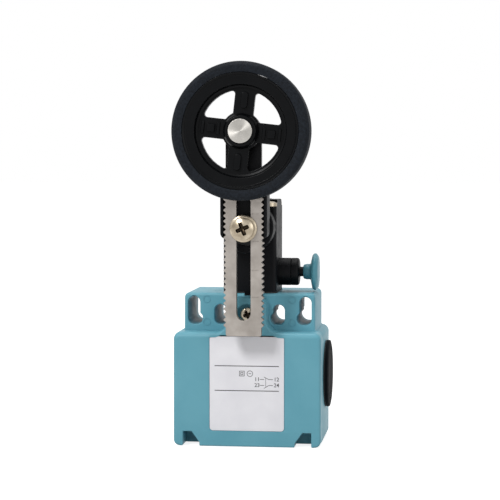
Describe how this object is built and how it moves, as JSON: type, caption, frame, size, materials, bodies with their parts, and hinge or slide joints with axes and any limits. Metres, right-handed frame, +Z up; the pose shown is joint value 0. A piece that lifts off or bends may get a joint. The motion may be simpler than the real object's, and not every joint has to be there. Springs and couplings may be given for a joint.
{
  "type": "limit switch",
  "caption": "Limit switch with a hollow metal housing, a swinging adjustable roller lever, a pull-to-reset knob and a plunger-driven contact block.",
  "frame": {"origin": "centre of the bottom face of the housing base", "axes": "+X to the right seen from the front, -Y to the front where the cover and lever are, +Z up along the lever"},
  "size_m": [0.057, 0.059, 0.1418],
  "materials": {
    "teal_paint": "satin powder coat on die casting",
    "black_paint": "satin black coat on die casting",
    "black_plastic": "moulded",
    "pale_plastic": "moulded",
    "seal_rubber": "moulded",
    "tyre_rubber": "moulded",
    "lever_steel": "stamped and zinc plated",
    "nickel_steel": "nickel plated",
    "spring_steel": "drawn wire",
    "brass": "machined",
    "silver_alloy": "stamped",
    "label_film": "film"
  },
  "bodies": {
    "housing": {"base_left_wall": "teal_paint", "base_right_wall": "teal_paint", "base_middle": "teal_paint", "base_neck": "teal_paint", "base_left_outer_lug": "teal_paint", "base_left_inner_lug": "teal_paint", "base_right_inner_lug": "teal_paint", "base_right_outer_lug": "teal_paint", "front_cover": "teal_paint", "cover_gasket": "seal_rubber", "conduit_plug_washer": "seal_rubber", "head_gasket": "seal_rubber", "shaft_seal": "seal_rubber", "cover_screw": "nickel_steel", "cover_screw_insert": "brass", "nameplate": "label_film", "conduit_plug": "black_plastic", "head_shell": "black_paint", "reset_bush": "black_paint", "shaft_bush": "brass", "reset_spring": "spring_steel", "plunger_spring": "spring_steel", "contact_block_base": "pale_plastic", "contact_block_lid": "pale_plastic", "block_screw_1": "nickel_steel", "block_screw_2": "nickel_steel", "contact_spring": "spring_steel", "head_screw_1": "nickel_steel", "head_screw_2": "nickel_steel", "head_screw_3": "nickel_steel", "head_screw_4": "nickel_steel", "terminal_11": "brass", "clamp_plate_11": "nickel_steel", "terminal_screw_11": "nickel_steel", "terminal_12": "brass", "clamp_plate_12": "nickel_steel", "terminal_screw_12": "nickel_steel", "terminal_23": "brass", "clamp_plate_23": "nickel_steel", "terminal_screw_23": "nickel_steel", "terminal_24": "brass", "clamp_plate_24": "nickel_steel", "terminal_screw_24": "nickel_steel"},
    "swing_arm": {"rotary_shaft": "lever_steel", "cam": "pale_plastic", "lever_carrier": "black_paint", "clamp_screw": "nickel_steel", "clamp_washer": "nickel_steel"},
    "lever_arm": {"lever_bar": "lever_steel", "roller_axle": "nickel_steel", "roller_spacer": "nickel_steel", "axle_rivet_washer": "nickel_steel"},
    "roller": {"roller_hub": "black_plastic", "roller_tyre": "tyre_rubber"},
    "reset_button": {"reset_rod": "lever_steel", "reset_knob": "teal_paint"},
    "plunger": {"head_plunger": "pale_plastic", "contact_carrier": "black_plastic", "bridge_nc": "silver_alloy", "bridge_no": "silver_alloy"}
  },
  "joints": [
    {"name": "lever_swing", "type": "hinge", "parent": "housing", "child": "swing_arm", "pos_m": [0, 0, 0.0815], "axis": [0, 1, 0], "range_deg": [-75, 75], "stiffness_Nm_per_rad": 0.15},
    {"name": "lever_length", "type": "slide", "parent": "swing_arm", "child": "lever_arm", "axis": [0, 0, 1], "range_m": [-0.004, 0.028]},
    {"name": "roller_spin", "type": "hinge", "parent": "lever_arm", "child": "roller", "pos_m": [0, -0.039, 0.1168], "axis": [0, 1, 0], "continuous": true},
    {"name": "reset_pull", "type": "slide", "parent": "housing", "child": "reset_button", "axis": [1, 0, 0], "range_m": [0, 0.004], "stiffness_N_per_m": 400, "deforming": ["reset_spring"]},
    {"name": "plunger_travel", "type": "slide", "parent": "housing", "child": "plunger", "axis": [0, 0, -1], "range_m": [0, 0.0025], "stiffness_N_per_m": 1500, "deforming": ["plunger_spring", "contact_spring"]}
  ]
}
